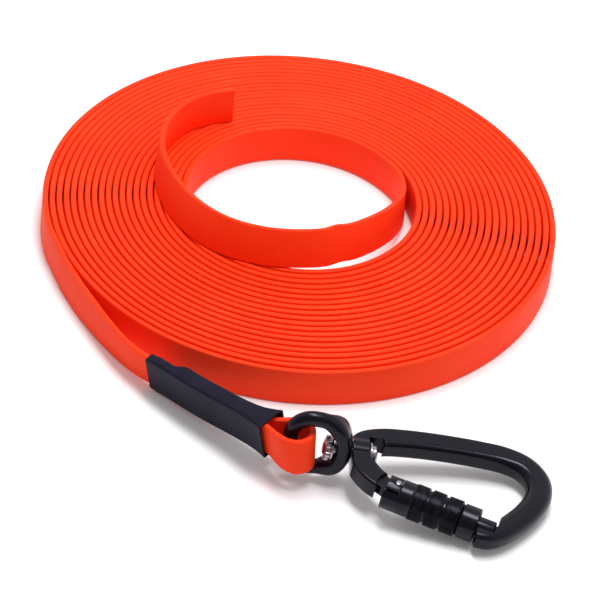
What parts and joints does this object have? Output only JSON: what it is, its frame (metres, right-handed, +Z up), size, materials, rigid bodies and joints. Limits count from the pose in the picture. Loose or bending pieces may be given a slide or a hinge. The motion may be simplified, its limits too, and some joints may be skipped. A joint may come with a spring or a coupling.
{
  "type": "training leash",
  "caption": "Long flat orange strap wound on edge into a pancake coil, its folded and heat-shrunk end carrying a swivel eye and an auto-locking carabiner.",
  "frame": {"origin": "centre of the bounding box, on the surface the coil lies on", "axes": "+Z up, square to the coil; +Y from the carabiner's side towards the coil's far side; +X to the right, the way the carabiner points from the strap's end"},
  "size_m": [0.21, 0.2828, 0.0325],
  "materials": {
    "orange_strap": "matte coated webbing",
    "heat_shrink": "satin heat-shrink",
    "thread": "waxed thread",
    "black_anodised": "satin black anodised",
    "bright_steel": "polished"
  },
  "bodies": {
    "strap": {"strap_coil": "orange_strap", "strap_inner_tail": "orange_strap", "strap_outer_tail": "orange_strap", "strap_fold": "orange_strap", "heat_shrink_tube": "heat_shrink", "seam_lower": "thread", "seam_upper": "thread"},
    "eye": {"swivel_eye": "black_anodised"},
    "carabiner": {"carabiner_frame": "black_anodised", "swivel_rivet": "bright_steel", "eye_washer": "bright_steel", "arm_washer": "bright_steel", "hinge_pin": "bright_steel"},
    "gate": {"gate_body": "black_anodised", "gate_plunger": "bright_steel", "gate_spring": "bright_steel", "guide_pin": "bright_steel", "retaining_ring": "bright_steel", "lock_spring": "bright_steel"},
    "lock": {"lock_sleeve": "black_anodised"}
  },
  "joints": [
    {"name": "eye_swing", "type": "hinge", "parent": "strap", "child": "eye", "pos_m": [0.00515, -0.10684, 0.01711], "axis": [0.1198, 0.0094, 0.9928], "range_deg": [-60, 8]},
    {"name": "swivel", "type": "hinge", "parent": "eye", "child": "carabiner", "pos_m": [0.03188, -0.10474, 0.01386], "axis": [0.9897, 0.0779, -0.1201], "continuous": true},
    {"name": "gate_hinge", "type": "hinge", "parent": "carabiner", "child": "gate", "pos_m": [0.04521, -0.12392, 0.01141], "axis": [0.1236, -0.041, 0.9915], "range_deg": [0, 28], "stiffness_Nm_per_rad": 0.15, "springref_deg": -20.05},
    {"name": "sleeve_twist", "type": "hinge", "parent": "gate", "child": "lock", "pos_m": [0.04521, -0.12392, 0.01141], "axis": [0.9619, -0.2405, -0.1299], "range_deg": [0, 90], "stiffness_Nm_per_rad": 0.02, "springref_deg": -28.65}
  ]
}
